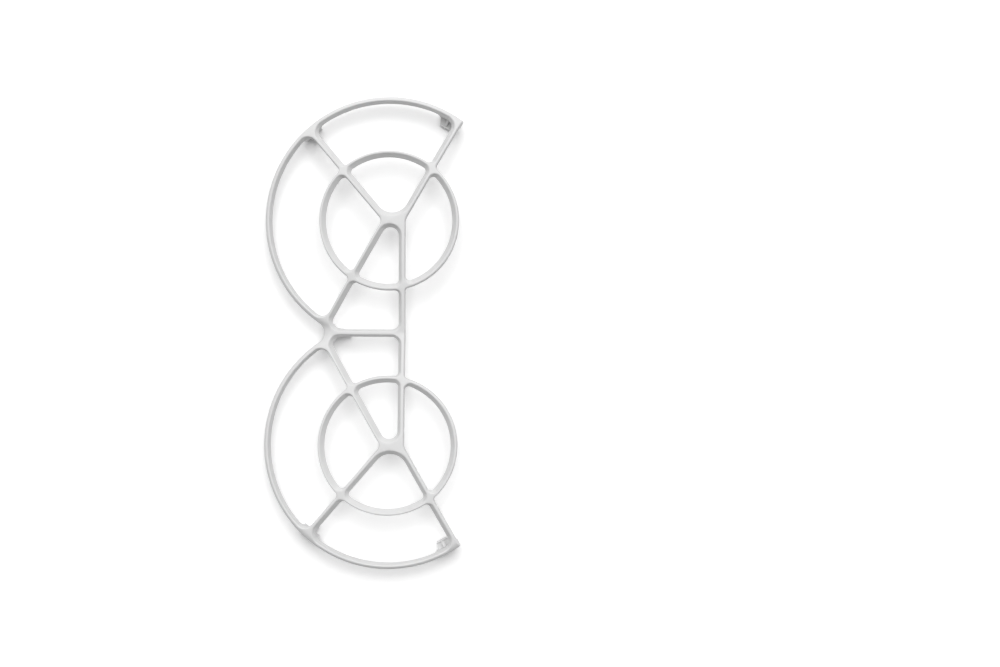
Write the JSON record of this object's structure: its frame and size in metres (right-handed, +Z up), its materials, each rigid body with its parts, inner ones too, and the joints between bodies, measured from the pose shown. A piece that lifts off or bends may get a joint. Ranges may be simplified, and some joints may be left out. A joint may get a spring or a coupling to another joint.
{
  "type": "drone propeller guard",
  "caption": "Clip-on guard over the rotors on a side of a small drone: a domed open frame of rim, inner rings, hubs, arms and spine, on legs with snap hooks.",
  "frame": {"origin": "middle of the footprint, on the ground under the leg feet", "axes": "+X inboard towards the drone's body, +Y along the guard from rotor to rotor, +Z up"},
  "size_m": [0.0548, 0.131, 0.0114],
  "materials": {
    "moulded_plastic": "matt, lightly textured mould surface"
  },
  "bodies": {
    "root": {"propeller_guard": "moulded_plastic"}
  },
  "joints": []
}
